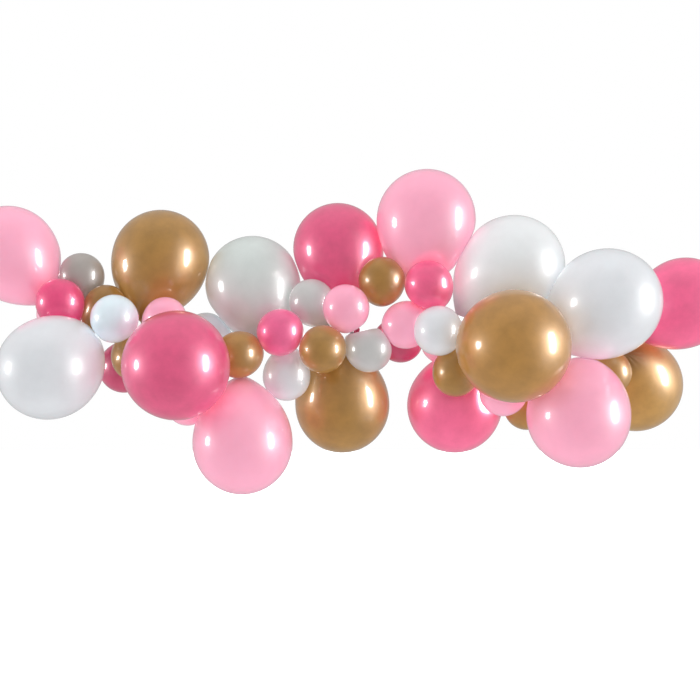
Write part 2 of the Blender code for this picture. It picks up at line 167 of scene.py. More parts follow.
# Balloons from left to right: centre, body radius, and the x of the tie's hole, or None if it is glued.
# Many of these numbers are rounded results of a layout search and of fits to the photo's outlines.
BALLOONS = {
    "large_pink_balloon_1": ((-0.766, 0.004, 0.2037), 0.1147, -0.600),
    "small_pink_balloon_1": ((-0.662, 0.068, 0.052), 0.056, -0.632),
    "large_white_balloon_1": ((-0.6205, -0.150, -0.0835), 0.1197, -0.562),
    "small_magenta_balloon_1": ((-0.6245, -0.050, 0.0755), 0.0585, -0.618),
    "small_grey_balloon_1": ((-0.594, 0.030, 0.1475), 0.0565, None),
    "small_gold_balloon_1": ((-0.523, -0.006, 0.067), 0.055, -0.582),
    "small_magenta_balloon_2": ((-0.488, 0.045, -0.084), 0.0645, -0.399),
    "small_white_balloon_1": ((-0.480, -0.102, 0.0355), 0.057, -0.513),
    "small_gold_balloon_2": ((-0.443, -0.055, -0.061), 0.054, -0.485),
    "large_gold_balloon_1": ((-0.3985, 0.060, 0.193), 0.123, -0.447),
    "small_pink_balloon_2": ((-0.3692, -0.045, 0.0373), 0.0525, -0.423),
    "large_magenta_balloon_1": ((-0.3177, -0.182, -0.0765), 0.1257, -0.344),
    "small_pink_balloon_3": ((-0.317, -0.025, -0.1715), 0.0545, None),
    "small_grey_balloon_2": ((-0.282, 0.057, -0.0045), 0.060, -0.207),
    "small_gold_balloon_3": ((-0.186, -0.075, -0.0515), 0.057, -0.138),
    "large_pink_balloon_2": ((-0.1744, -0.085, -0.2645), 0.121, -0.187),
    "large_grey_balloon": ((-0.164, 0.072, 0.130), 0.121, -0.123),
    "small_magenta_balloon_3": ((-0.084, -0.076, 0.0035), 0.0567, -0.108),
    "small_white_balloon_2": ((-0.0725, -0.015, -0.106), 0.059, -0.068),
    "small_grey_balloon_3": ((-0.0095, -0.015, 0.079), 0.057, 0.060),
    "small_gold_balloon_4": ((0.019, -0.090, -0.039), 0.057, 0.032),
    "large_magenta_balloon_2": ((0.055, 0.064, 0.2185), 0.1155, 0.102),
    "large_gold_balloon_2": ((0.065, 0.074, -0.180), 0.1217, 0.046),
    "small_pink_balloon_4": ((0.0753, -0.076, 0.062), 0.0567, 0.074),
    "small_grey_balloon_4": ((0.1305, -0.055, -0.0380), 0.0565, 0.088),
    "small_gold_balloon_5": ((0.1638, -0.035, 0.1312), 0.058, None),
    "small_magenta_balloon_4": ((0.214, 0.056, -0.0145), 0.0575, 0.148),
    "small_pink_balloon_5": ((0.2215, -0.050, 0.0213), 0.0585, 0.290),
    "small_magenta_balloon_5": ((0.275, -0.080, 0.1185), 0.058, 0.324),
    "large_pink_balloon_3": ((0.275, -0.005, 0.2852), 0.1224, 0.250),
    "small_white_balloon_3": ((0.2955, -0.117, 0.0055), 0.059, 0.310),
    "small_pink_balloon_6": ((0.3215, 0.028, -0.018), 0.057, 0.396),
    "small_gold_balloon_6": ((0.3415, -0.072, -0.096), 0.0567, None),
    "large_magenta_balloon_3": ((0.3545, 0.082, -0.182), 0.1208, 0.459),
    "small_pink_balloon_7": ((0.4602, -0.050, -0.142), 0.059, None),
    "large_gold_balloon_3": ((0.461, -0.200, -0.031), 0.131, 0.531),
    "large_white_balloon_2": ((0.4855, -0.030, 0.165), 0.1268, 0.342),
    "small_gold_balloon_7": ((0.5302, 0.025, -0.1837), 0.0568, None),
    "large_pink_balloon_4": ((0.624, -0.140, -0.195), 0.1205, 0.680),
    "large_white_balloon_3": ((0.6917, -0.130, 0.0712), 0.129, 0.583),
    "small_gold_balloon_8": ((0.7405, 0.021, -0.097), 0.054, 0.704),
    "large_gold_balloon_4": ((0.849, 0.179, -0.1333), 0.1226, 0.765),
    "large_magenta_balloon_4": ((0.9318, 0.039, 0.080), 0.114, 0.745),
}

# Balloons held by glue dots, with what each is glued to
GLUED_TO = {
    "small_grey_balloon_1": ("large_pink_balloon_1", "small_magenta_balloon_1"),
    "small_pink_balloon_3": ("large_pink_balloon_2",),
    "small_gold_balloon_5": ("large_magenta_balloon_2",),
    "small_gold_balloon_6": ("large_magenta_balloon_3", "large_gold_balloon_3"),
    "small_pink_balloon_7": ("large_magenta_balloon_3", "large_gold_balloon_3"),
    "small_gold_balloon_7": ("small_pink_balloon_7",),
}

# Balloons with the neck tucked up behind them: the directions of the body's axis and of the tail
TUCKED = {
    "small_gold_balloon_5": ((0.0, 0.76, -0.65), (0.0, 0.8, 0.6)),
}

# Studio: the point that camera and lights face
MIDDLE = (0.085, 0.0, -0.040)

# Camera: its distance, and a focal length and picture width that stand in the same proportion
CAMERA_DISTANCE = 2.5
SENSOR_WIDTH = 36.0
FOCAL_PIXELS = 1000
PICTURE_PIXELS = 700

# Floor far below the garland
FLOOR_HALF = 9.0
FLOOR_HEIGHT = -1.2
FLOOR_SHADE = 0.9
FLOOR_ROUGHNESS = 0.9

# Windows that only mirror in the glossy skins: angle and lift in degrees, distance, width and height
# in degrees, and radiance
WINDOWS = [
    ("right_window", 74, 5, 8.0, 10, 26, 80.0),
    ("right_glow", 70, 5, 7.5, 50, 76, 0.9),
    ("left_window", -80, 2, 8.0, 9, 11, 60.0),
]

# Fill lights that only shade, without shadows: angle and lift in degrees, and the brightness that they
# give a white surface facing them
FILLS = [
    ("front_fill", 0, 0, 0.18),
    ("left_fill", -90, 0, 0.30),
    ("right_fill", 90, 0, 0.34),
    ("top_fill", 0, 90, 0.34),
    ("bottom_fill", 0, -90, 0.33),
    ("back_fill", 180, 0, 0.30),
]
FILL_DISTANCE = 5.0
FILL_SPREAD = 60

# Least upward part of a direction that counts as steep
STEEP = 0.9

# Radiance of the room in each direction, for shading and for reflections
ROOM_SHADE = {"side": 0.72, "front": 0.56, "back": 0.60, "top": 0.78, "bottom": 0.66}
ROOM_GLOSS = {"side": 0.55, "front": 0.22, "back": 0.42, "top": 0.60, "bottom": 0.40}
ROOM_COLOUR = (1.0, 0.995, 0.985, 1.0)
ROOM_POWER = 2.0
WHITE = (1.0, 1.0, 1.0, 1.0)


def unit(vector):
    return vector / np.linalg.norm(vector)


def square_pair(direction, hint=(0.0, 0.0, 1.0)):
    """Two unit vectors square to the direction and to each other, the first close to the hint."""
    hint = np.array(hint)
    first = hint - np.dot(hint, direction) * direction
    if np.linalg.norm(first) < LEAST_HINT:
        hint = np.array((1.0, 0.0, 0.0))
        first = hint - np.dot(hint, direction) * direction
    first = unit(first)
    return first, np.cross(direction, first)


def smooth_step(value, low, high):
    """Rises smoothly from 0 at the low value to 1 at the high one."""
    share = np.clip((value - low) / (high - low), 0.0, 1.0)
    return share * share * (3 - 2 * share)


# Strip's centre line


def route_slope(index):
    """Slope of the centre line at a point of the route, from its neighbours."""
    before = STRIP_ROUTE[max(index - 1, 0)]
    after = STRIP_ROUTE[min(index + 1, len(STRIP_ROUTE) - 1)]
    return (after[1] - before[1]) / (after[0] - before[0])


def strip_height(x):
    """Height of the centre line at x, on one smooth curve through the route's points."""
    places = [point[0] for point in STRIP_ROUTE]
    index = min(max(bisect(places, x) - 1, 0), len(places) - 2)
    (x0, z0), (x1, z1) = STRIP_ROUTE[index:index + 2]
    length = x1 - x0
    t = (x - x0) / length
    return (
        z0 * (1 + 2 * t) * (1 - t) ** 2
        + z1 * t ** 2 * (3 - 2 * t)
        + route_slope(index) * length * t * (1 - t) ** 2
        - route_slope(index + 1) * length * t ** 2 * (1 - t)
    )


def strip_across(x):
    """Unit vector across the strip at x, in its plane."""
    step = 0.001
    along = unit(np.array((2 * step, 0.0, strip_height(x + step) - strip_height(x - step))))
    return np.array((-along[2], 0.0, along[0]))


# Balloon's form


def side_curve(share):
    """Ring radius and place along the axis, from the widest ring at share 0 to the neck at share 1."""
    rest = 1 - share
    weights = (rest ** 3, 3 * rest ** 2 * share, 3 * rest * share ** 2, share ** 3)
    handles = ((1.0, 0.0), SHOULDER, THROAT, (0.0, BODY_REACH))
    radius = sum(weight * handle[0] for weight, handle in zip(weights, handles))
    along = sum(weight * handle[1] for weight, handle in zip(weights, handles))
    return radius, along


def inner_spheres():
    """Spheres that fill the body and its taper, as (place along the axis, radius)."""
    corners = [np.array(side_curve(share)) for share in (0.0, *SIDE_SHARES, 1.0)]
    outline = []
    for start, end in zip(corners, corners[1:]):
        outline.extend(start + step / OUTLINE_STEPS * (end - start) for step in range(OUTLINE_STEPS + 1))
    spheres = [(0.0, 1.0)]
    for along in SPHERE_PLACES:
        spheres.append((along, min(math.hypot(radius, place - along) for radius, place in outline)))
    return spheres


FORM_SPHERES = inner_spheres()


class Balloon:
    """Where one balloon is and which way it points, as in the solids.

    The axis runs from the body's centre to the neck. The gate is where a tied neck enters its hole in the
    strip, and where a glued one ends at its knot. The tail leaves the gate along the exit direction.
    """

    def __init__(self, number, name, centre, radius, hole):
        self.number = number
        self.name = name
        self.colour = name.split("_")[1]
        self.centre = np.array(centre)
        self.radius = radius
        self.size = LARGE if radius > LARGE_FROM else SMALL
        self.tied = hole is not None
        side = -1.0 if centre[1] < 0 else 1.0
        place = hole if self.tied else centre[0]
        aim = np.array((place, side * AIM_GAP if self.tied else centre[1], strip_height(place)))
        self.axis = unit(np.array(TUCKED[name][0]) if name in TUCKED else aim - self.centre)
        self.throat = self.centre + BODY_REACH * radius * self.axis
        if self.tied:
            near_face = -STRIP_THICKNESS if side < 0 else 0.0
            self.exit = np.array((0.0, -side, 0.0))
            self.gate = np.array((place, near_face + side * GATE_GAP, aim[2]))
            self.knot_start = GATE_GAP + STRIP_THICKNESS + EXIT_GAP
        else:
            self.exit = np.array(TUCKED[name][1]) if name in TUCKED else self.axis
            self.gate = self.throat + GLUED_NECK * self.axis
            self.knot_start = EXIT_GAP
        self.planes = []

    def spheres(self):
        """The spheres that fill the body, in place."""
        spheres = []
        for along, size in FORM_SPHERES:
            spheres.append((self.centre + along * self.radius * self.axis, size * self.radius))
        return spheres

    def neck_spheres(self):
        """Spheres along the neck, from the throat to the gate."""
        thick = NECK_ROOM * self.size["neck"]
        return [(self.neck_point(share), thick) for share in NECK_SHARES]

    def tail_spheres(self):
        """Spheres around the knot and the tail."""
        start = self.gate + self.knot_start * self.exit
        end = start + self.size["tail"] * self.exit
        return [(start, self.size["lip"]), (end, self.size["lip"])]

    def neck_point(self, share):
        """A point of the neck's centre line, which leaves along the axis and bends into the hole."""
        handle = NECK_HANDLE * np.linalg.norm(self.gate - self.throat)
        rest = 1 - share
        return (
            rest ** 3 * self.throat
            + 3 * rest ** 2 * share * (self.throat + handle * self.axis)
            + 3 * rest * share ** 2 * (self.gate - handle * self.exit)
            + share ** 3 * self.gate
        )

    def neck_direction(self, share):
        """Unit vector along the neck's centre line."""
        step = 0.01
        return unit(self.neck_point(min(share + step, 1.0)) - self.neck_point(max(share - step, 0.0)))


# Contact: each pair is parted by one plane, and both are flattened against it


def reach(spheres, direction):
    """How far the spheres reach along a direction."""
    return max(float(np.dot(centre, direction)) + radius for centre, radius in spheres)


def parting_plane(first, second, share):
    """The plane that parts two groups of spheres with the least overlap.

    Returns its unit normal, from the first to the second, its place along that normal and the overlap.
    The share is how much of the overlap the first group gives up.
    """
    normal = unit(second[0][0] - first[0][0])
    overlap = reach(first, normal) + reach(second, -normal)
    turn = FIRST_TURN
    while turn > LAST_TURN:
        across, up = square_pair(normal)
        angles = [2 * math.pi * step / TURN_DIRECTIONS for step in range(TURN_DIRECTIONS)]
        tries = [unit(normal + turn * (math.cos(a) * across + math.sin(a) * up)) for a in angles]
        best = min(tries, key=lambda trial: reach(first, trial) + reach(second, -trial))
        found = reach(first, best) + reach(second, -best)
        if found < overlap - LEAST_GAIN:
            normal, overlap = best, found
        else:
            turn *= 0.5
    return normal, reach(first, normal) - share * overlap, overlap


def foremost(spheres, direction):
    """Centre of the sphere that reaches furthest along a direction."""
    return max(spheres, key=lambda sphere: float(np.dot(sphere[0], direction)) + sphere[1])[0]


def press_pair(first, second, gap):
    """Notes the plane between two near balloons. Returns where they meet on it, and its normal."""
    near = first.radius + second.radius + BODY_REACH * max(first.radius, second.radius)
    if np.linalg.norm(first.centre - second.centre) > near:
        return None
    share = second.radius / (first.radius + second.radius)
    ours, theirs = first.spheres(), second.spheres()
    normal, place, overlap = parting_plane(ours, theirs, share)
    if overlap < -NEAR:
        return None
    first.planes.append((normal, place - gap / 2))
    second.planes.append((-normal, -place - gap / 2))
    middle = (foremost(ours, normal) + foremost(theirs, -normal)) / 2
    middle = middle + (place - np.dot(middle, normal)) * normal
    return middle, normal


def give_way(balloon, spheres):
    """Notes the plane behind which a balloon's body stays, clear of a neck, a tail or the strip."""
    limit = BODY_REACH * balloon.radius + NEAR
    if not any(np.linalg.norm(place - balloon.centre) - radius < limit for place, radius in spheres):
        return
    normal, place, overlap = parting_plane(balloon.spheres(), spheres, 1.0)
    if overlap > -NEAR:
        balloon.planes.append((normal, place - GAP))


def strip_spheres(balloon):
    """Small spheres along both edges of the stretch of strip beside a balloon."""
    spheres = []
    count = math.ceil(2 * BODY_REACH * balloon.radius / STRIP_STEP)
    for step in range(count + 1):
        x = balloon.centre[0] + (step - count / 2) * STRIP_STEP
        if STRIP_ROUTE[0][0] - STRIP_STEP < x < STRIP_ROUTE[-1][0] + STRIP_STEP:
            middle = np.array((x, -STRIP_THICKNESS / 2, strip_height(x)))
            half = STRIP_WIDTH / 2 * strip_across(x)
            spheres.extend((middle + side * half, STRIP_THICKNESS) for side in (-1, 1))
    return spheres


def settle():
    """Every balloon with the planes that flatten it, and every contact that carries a glue dot."""
    balloons = [Balloon(number, name, *row) for number, (name, row) in enumerate(BALLOONS.items())]
    dots = []
    for index, first in enumerate(balloons):
        for second in balloons[index + 1:]:
            partners = GLUED_TO.get(first.name, ()) + GLUED_TO.get(second.name, ())
            glued = first.name in partners or second.name in partners
            contact = press_pair(first, second, GLUE_THICKNESS + 2 * GAP if glued else GAP)
            if glued:
                dots.append(contact)
    for balloon in balloons:
        give_way(balloon, strip_spheres(balloon))
        for other in balloons:
            if other is not balloon:
                give_way(balloon, other.neck_spheres())
                give_way(balloon, other.tail_spheres())
    return balloons, dots


# Meshes


class Surface:
    """Rings of points joined by quads, or by triangles where the number of sides changes.

    Each point also carries how thick the latex is there, from 0 on the body to 1 at the neck.
    """

    def __init__(self):
        self.points = []
        self.faces = []
        self.thickness = []

    def add_ring(self, points, thickness):
        """Adds points, and returns their indices."""
        start = len(self.points)
        self.points.extend(points)
        self.thickness.extend([thickness] * len(points))
        return list(range(start, start + len(points)))

    def bridge(self, first, second):
        """Closes the band between two rings. The rings may differ in their number of sides."""
        if len(first) == len(second):
            count = len(first)
            for side in range(count):
                after = (side + 1) % count
                self.faces.append((first[side], first[after], second[after], second[side]))
            return
        i, j = 0, 0
        while i < len(first) or j < len(second):
            here = first[i % len(first)], second[j % len(second)]
            ahead_first = (i + 1) / len(first)
            ahead_second = (j + 1) / len(second)
            if j == len(second) or (i < len(first) and ahead_first <= ahead_second + ROUNDING):
                self.faces.append((here[0], first[(i + 1) % len(first)], here[1]))
                i += 1
            else:
                self.faces.append((here[0], second[(j + 1) % len(second)], here[1]))
                j += 1

    def close(self, rim, point, thickness):
        """Closes a ring with a fan of triangles round one point."""
        middle = self.add_ring([point], thickness)[0]
        for side in range(len(rim)):
            self.faces.append((rim[side], rim[(side + 1) % len(rim)], middle))

    def finish(self, name, smooth=True):
        """Makes the named object, with its faces turned outwards."""
        mesh = bpy.data.meshes.new(name)
        mesh.from_pydata([tuple(point) for point in self.points], [], self.faces)
        bm = bmesh.new()
        bm.from_mesh(mesh)
        bmesh.ops.recalc_face_normals(bm, faces=bm.faces)
        bm.to_mesh(mesh)
        bm.free()
        if smooth:
            mesh.shade_smooth()
        attribute = mesh.attributes.new("thickness", "FLOAT", "POINT")
        attribute.data.foreach_set("value", np.array(self.thickness, dtype=np.float32))
        item = bpy.data.objects.new(name, mesh)
        bpy.context.scene.collection.objects.link(item)
        return item


def circle(centre, across, up, radii):
    """Points round a centre, one for each radius."""
    angles = 2 * math.pi * np.arange(len(radii)) / len(radii)
    return centre + radii[:, None] * (np.cos(angles)[:, None] * across + np.sin(angles)[:, None] * up)


def smooth_max(first, second, blend):
    """The larger of two numbers, with a rounded change from one to the other."""
    return (first + second + math.sqrt((first - second) ** 2 + blend ** 2)) / 2


def pressed(points, inside, planes, radius):
    """The points, drawn towards the inside point behind every plane, with rounded edges between planes."""
    power = radius * math.log(2) / SOFT_EDGE
    runs = points - inside
    total = np.ones(len(points))
    for normal, place in planes:
        room = max(place - float(np.dot(inside, normal)), LEAST_ROOM)
        share = np.maximum(runs @ normal, 0.0) / room
        total += np.minimum(share, MOST_SHARE) ** power
    return inside + total[:, None] ** (-1 / power) * runs


def body_profile(balloon):
    """The body's rings from crown to throat, as (place along the axis, radius), in metres."""
    size, radius = balloon.size, balloon.radius
    rings = []
    for step in range(1, size["crown"] + 1):
        angle = math.radians(90) * step / size["crown"]
        rings.append((-CROWN_HEIGHT * radius * math.cos(angle), radius * math.sin(angle)))
    for step in range(1, size["side"] + 1):
        ring_radius, along = side_curve(step / size["side"])
        rings.append((along * radius, smooth_max(ring_radius * radius, size["neck"], TAPER_BLEND * radius)))
    return rings


def build_balloon(balloon):
    """One closed skin, from the crown over the flattened body and the neck to the rolled lip."""
    size, radius, axis = balloon.size, balloon.radius, balloon.axis
    surface = Surface()
    across, up = square_pair(axis)
    angles = 2 * math.pi * np.arange(size["sides"]) / size["sides"]
    phase = WAVE_PHASE * balloon.number
    oval = OVAL_DEPTH * np.cos(2 * angles + phase)
    triangle = TRIANGLE_DEPTH * np.cos(3 * angles + TRIANGLE_PHASE * phase)
    uneven = 1 + oval + triangle
    previous = None
    for along, ring_radius in body_profile(balloon):
        free = smooth_step(along / radius, *FREE_RANGE)
        depth = PLEAT_DEPTH * smooth_step(along / radius, *PLEAT_RANGE)
        pleats = 1 + depth * np.cos(PLEATS * angles + phase)
        shape = (1 + (uneven - 1) * (1 - free)) * pleats
        points = circle(balloon.centre + along * axis, across, up, ring_radius * shape)
        inside = balloon.centre + DRAW_SHARE * max(along, 0.0) * axis
        flat = pressed(points, inside, balloon.planes, radius)
        points = points + (1 - free) * (flat - points)
        current = surface.add_ring(points, float(smooth_step(along / radius, *THICK_RANGE)))
        if previous is None:
            crown = balloon.centre - CROWN_HEIGHT * radius * axis
            crown = pressed(crown[None, :], balloon.centre, balloon.planes, radius)[0]
            surface.close(current, crown, 0.0)
        else:
            surface.bridge(previous, current)
        previous = current
    build_tube(surface, balloon, previous, across)
    return surface.finish(balloon.name + "_skin")


def tail_profile(balloon):
    """The knot and the flared, rolled lip, as (distance from the gate, radius)."""
    size, start = balloon.size, balloon.knot_start
    neck, knot, lip, tail = size["neck"], size["knot"], size["lip"], size["tail"]
    rings = []
    for step in range(KNOT_RINGS + 1):
        share = step / KNOT_RINGS
        bulge = (knot - neck) * math.sin(math.pi * share) ** KNOT_FULLNESS
        rings.append((start + share * KNOT_WAIST, neck + bulge))
    for step in range(1, FLARE_RINGS + 1):
        share = step / FLARE_RINGS
        flare = neck + (lip - neck) * share ** FLARE_POWER
        rings.append((start + KNOT_WAIST + share * (tail - KNOT_WAIST), flare))
    for step in range(1, ROLL_RINGS + 1):
        angle = math.radians(ROLL_START + ROLL_TURN * step / ROLL_RINGS)
        roll = lip - ROLL_RADIUS + 2 * ROLL_RADIUS * math.cos(angle)
        rings.append((start + tail + ROLL_RADIUS * math.sin(angle), roll))
    for step in range(1, INSIDE_RINGS):
        share = 1 - step / INSIDE_RINGS
        along = start + KNOT_WAIST + INSIDE_START + share * (tail - KNOT_WAIST - INSIDE_START)
        flare = neck + (lip - neck) * share ** FLARE_POWER
        rings.append((along, flare * INSIDE_SHARE - INSIDE_GAP))
    return rings


def build_tube(surface, balloon, previous, across):
    """The neck through its hole, the knot behind it and the rolled lip, from the body's last ring."""
    size = balloon.size
    angles = 2 * math.pi * np.arange(TUBE_SIDES) / TUBE_SIDES
    length = np.linalg.norm(balloon.gate - balloon.throat)
    count = max(LEAST_NECK_RINGS, math.ceil(length / NECK_STEP))
    for step in range(1, count + 1):
        share = step / count
        direction = balloon.neck_direction(share)
        across, up = square_pair(direction, across)
        radius = smooth_max(-NECK_TAPER * share * length, size["neck"], TAPER_BLEND * balloon.radius)
        radii = radius * (1 + NECK_FOLD_DEPTH * np.cos(NECK_FOLDS * angles + NECK_TWIST * share * length))
        current = surface.add_ring(circle(balloon.neck_point(share), across, up, radii), 1.0)
        surface.bridge(previous, current)
        previous = current
    across, up = square_pair(balloon.exit, across)
    knot_end = balloon.knot_start + KNOT_WAIST
    for along, radius in tail_profile(balloon):
        in_knot = 1.0 if along < knot_end else 0.0
        fold = KNOT_FOLD_DEPTH * in_knot * np.cos(2 * angles + KNOT_TWIST * along)
        in_tail = smooth_step(along, knot_end, balloon.knot_start + size["tail"])
        wave = FLARE_WAVE_DEPTH * in_tail * np.cos(2 * angles)
        radii = max(radius, LEAST_RADIUS) * (1 + fold + wave)
        current = surface.add_ring(circle(balloon.gate + along * balloon.exit, across, up, radii), 1.0)
        surface.bridge(previous, current)
        previous = current
    surface.close(previous, balloon.gate + (knot_end + INSIDE_END) * balloon.exit, 1.0)


def build_glue_dot(number, middle, normal):
    """A clear adhesive disc squeezed between two balloons, with a rounded edge."""
    surface = Surface()
    across, up = square_pair(normal)
    half = GLUE_THICKNESS / 2
    previous = None
    for step in range(GLUE_RINGS + 1):
        angle = math.radians(-90 + 180 * step / GLUE_RINGS)
        place = middle + half * math.sin(angle) * normal
        radius = GLUE_RADIUS - half + half * math.cos(angle)
        current = surface.add_ring(circle(place, across, up, np.full(GLUE_SIDES, radius)), 0.0)
        if previous:
            surface.bridge(previous, current)
        else:
            surface.close(current, middle - half * normal, 0.0)
        previous = current
    surface.close(previous, middle + half * normal, 0.0)
    return surface.finish(f"glue_dot_{number}_disc")


def strip_stations():
    """Places of the strip's cross edges, and the hole of each cell. Close cells share an edge."""
    ties = [row[2] for row in BALLOONS.values() if row[2] is not None]
    cells = [(x, TIE_HOLE_RADIUS, TIE_CELL) for x in ties]
    cells += [(x, HANGING_HOLE_RADIUS, HANGING_CELL) for x in HANGING_HOLES]
    edges, holes = [STRIP_ROUTE[0][0]], {}
    for x, radius, length in sorted(cells):
        start = x - length / 2
        if start - edges[-1] > CELL_JOIN:
            add_span(edges, start)
        elif holes:
            edges[-1] = (edges[-1] + start) / 2
        holes[len(edges) - 1] = (x, radius)
        edges.append(x + length / 2)
    add_span(edges, STRIP_ROUTE[-1][0])
    return edges, holes


def add_span(edges, end):
    """Runs the plain strip on to a place, in equal stretches no longer than a span."""
    start = edges[-1]
    steps = math.ceil((end - start) / STRIP_SPAN)
    edges.extend(start + (end - start) * step / steps for step in range(1, steps + 1))


def build_strip():
    """The strip in cells, each a ring of faces round its hole or one plain quad, on the front and back."""
    surface = Surface()
    edges, holes = strip_stations()
    corners = []
    for x in edges:
        half = STRIP_WIDTH / 2 * strip_across(x)
        sides = []
        for y in (-STRIP_THICKNESS, 0.0):
            middle = np.array((x, y, strip_height(x)))
            sides.append(surface.add_ring([middle - half, middle + half], 0.0))
        corners.append(sides)
    for index, (left, right) in enumerate(zip(corners, corners[1:])):
        for side in (0, 1):
            surface.faces.append((left[0][side], right[0][side], right[1][side], left[1][side]))
        if index in holes:
            build_hole(surface, left, right, *holes[index])
        else:
            for face in (0, 1):
                surface.faces.append((left[face][0], right[face][0], right[face][1], left[face][1]))
    for end in (corners[0], corners[-1]):
        surface.faces.append((end[0][0], end[0][1], end[1][1], end[1][0]))
    return surface.finish("garland_strip_film", smooth=False)


def build_hole(surface, left, right, x, radius):
    """The cell of strip around one hole: its front, its back and the hole's wall."""
    rims = []
    for face, y in enumerate((-STRIP_THICKNESS, 0.0)):
        centre = np.array((x, y, strip_height(x)))
        outline = [right[face][1], left[face][1], left[face][0], right[face][0]]
        start = unit(np.array(surface.points[outline[0]]) - centre)
        across, up = square_pair(np.array((0.0, -1.0, 0.0)), start)
        rim = surface.add_ring(circle(centre, across, up, np.full(HOLE_SIDES, radius)), 0.0)
        surface.bridge(outline, rim)
        rims.append(rim)
    surface.bridge(rims[0], rims[1])


# Materials

# Latex by colour: linear red, green and blue, metallic, roughness, subsurface, coat roughness and mottling.
# The colours, and the tints below, were set after ratios between the photo's tones and the render's.
LATEX = {
    "pink": ((1.00, 0.41, 0.57), 0.0, 0.45, 0.25, 0.13, 0.02),
    "magenta": ((0.745, 0.085, 0.215), 0.10, 0.42, 0.0, 0.12, 0.07),
    "gold": ((0.395, 0.202, 0.040), 0.14, 0.42, 0.0, 0.12, 0.10),
    "white": ((0.70, 0.72, 0.755), 0.0, 0.45, 0.15, 0.15, 0.02),
    "grey": ((0.52, 0.52, 0.515), 0.0, 0.45, 0.0, 0.13, 0.03),
}

# Balloons that are darker, lighter or warmer than the rest of their colour, as factors on it: mostly their
# own tone,
# but the darkening of small_magenta_balloon_2, small_magenta_balloon_4, small_gold_balloon_1 and
# small_gold_balloon_5 is painted shade
TONES_AND_PAINTED_SHADE = {
    "large_grey_balloon": (1.12, 1.22, 1.20),
    "large_gold_balloon_3": (1.12, 1.08, 1.10),
    "large_gold_balloon_4": (1.26, 1.30, 1.35),
    "large_magenta_balloon_3": (1.28, 1.65, 1.42),
    "large_magenta_balloon_4": (1.20, 1.40, 1.30),
    "large_white_balloon_2": (1.10, 1.10, 1.07),
    "small_grey_balloon_1": (0.68, 0.62, 0.58),
    "small_grey_balloon_2": (1.20, 1.28, 1.42),
    "small_white_balloon_1": (1.00, 1.12, 1.15),
    "small_magenta_balloon_1": (1.05, 0.66, 0.90),
    # Painted shade: darkened where its neighbours shade it
    "small_magenta_balloon_2": (0.74, 0.60, 0.66),
    "small_magenta_balloon_3": (1.16, 1.45, 1.40),
    # Painted shade: darkened where its neighbours shade it
    "small_magenta_balloon_4": (0.78, 0.66, 0.72),
    "small_magenta_balloon_5": (1.14, 1.22, 1.16),
    # Painted shade on the next two: darkened where their neighbours shade them
    "small_gold_balloon_1": (0.82, 0.78, 0.72),
    "small_gold_balloon_5": (0.88, 0.84, 0.70),
}

# Slight change of tint from one balloon to the next
TINT_CHANGE = 0.03
TINT_PHASE = 2.1

# Latex: deeper colour at the neck, blotches and grain, glow under the skin, and the glossy coat
NECK_DEPTH = 1.25
NECK_SHADE = 0.62
CLOUD = {"Scale": 22.0, "Detail": 5.0, "Roughness": 0.6}
BLOTCH_RANGE = (0.35, 0.65)
ROUGH_CHANGE = 0.03
GRAIN = {"Scale": 900.0, "Detail": 2.0, "Roughness": 0.6}
GRAIN_STRENGTH = 0.05
GRAIN_HEIGHT = 0.0001
GLOW_COLOUR = (1.0, 0.55, 0.60)
GLOW_DEPTH = 0.012
COAT_IOR = 1.45

# Clear plastic: colour, roughness and scale of the haze for the glue and the film
GLUE_LOOK = ((0.93, 0.94, 0.90), 0.10, 300.0)
FILM_LOOK = ((0.95, 0.97, 0.97), 0.04, 60.0)
HAZE_CHANGE = 0.12
HAZE_DETAIL = 2.0
CLEARNESS = 0.95
PLASTIC_IOR = 1.40


def set_sockets(item, **values):
    """Sets a shader node's sockets by name."""
    for key, value in values.items():
        item.inputs[key.replace("_", " ")].default_value = value


def node(tree, kind, **values):
    """A shader node with its sockets set by name."""
    made = tree.nodes.new(kind)
    set_sockets(made, **values)
    return made


def plug(tree, value, socket):
    """Feeds a socket with another node's output, or with a number or colour."""
    if isinstance(value, bpy.types.NodeSocket):
        tree.links.new(value, socket)
    else:
        socket.default_value = value


def new_material(name):
    """A material, its node tree and its shader."""
    material = bpy.data.materials.new(name)
    material.use_nodes = True
    tree = material.node_tree
    return material, tree, tree.nodes["Principled BSDF"]


def noise(tree, place, **values):
    """Noise over the garland's own space."""
    made = node(tree, "ShaderNodeTexNoise", **values)
    tree.links.new(place.outputs["Object"], made.inputs["Vector"])
    return made.outputs["Fac"]


def map_range(tree, value, **limits):
    """A value mapped from one range to another."""
    made = node(tree, "ShaderNodeMapRange", **limits)
    tree.links.new(value, made.inputs["Value"])
    return made.outputs["Result"]


def mix_colours(tree, share, first, second):
    """The first colour at share 0, the second at share 1, and their mix between."""
    made = tree.nodes.new("ShaderNodeMix")
    made.data_type = "RGBA"
    factor, first_colour, second_colour = made.inputs[0], made.inputs[6], made.inputs[7]
    plug(tree, share, factor)
    plug(tree, first, first_colour)
    plug(tree, second, second_colour)
    return made.outputs[2]


def tone_and_painted_shade_of(balloon):
    """A balloon's factors on the colour of its latex: its own tone, and painted shade on a few small ones.
    """
    change = 1 + TINT_CHANGE * math.sin(TINT_PHASE * balloon.number)
    return change * np.array(TONES_AND_PAINTED_SHADE.get(balloon.name, (1.0, 1.0, 1.0)))


